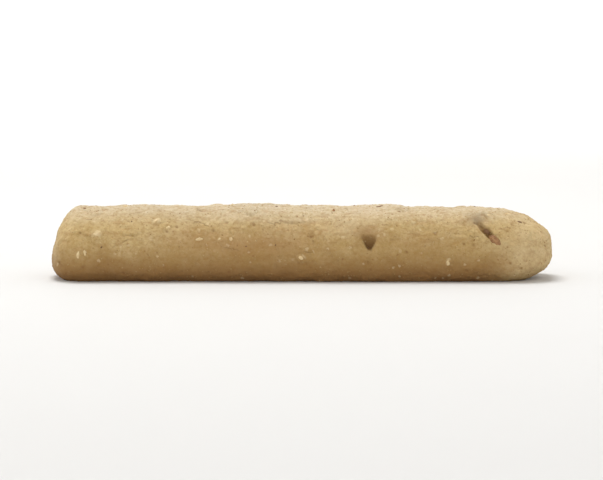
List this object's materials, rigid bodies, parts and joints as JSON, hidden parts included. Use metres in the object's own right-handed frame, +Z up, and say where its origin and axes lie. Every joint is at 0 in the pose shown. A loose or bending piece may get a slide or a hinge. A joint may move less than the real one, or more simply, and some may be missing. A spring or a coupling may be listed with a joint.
{
  "type": "almond biscuit",
  "caption": "Hand-shaped finger biscuit, flat underneath with a domed top and rounded ends, with chopped almonds and small chips in its matte crust.",
  "frame": {"origin": "under the middle of the biscuit, on its flat underside", "axes": "+X along the biscuit towards its longer, more sloping end, -Y out of the side that the picture shows, +Z up"},
  "size_m": [0.135, 0.0304, 0.0201],
  "materials": {
    "baked_crust": "matte"
  },
  "bodies": {
    "root": {"almond_biscuit": "baked_crust"}
  },
  "joints": []
}
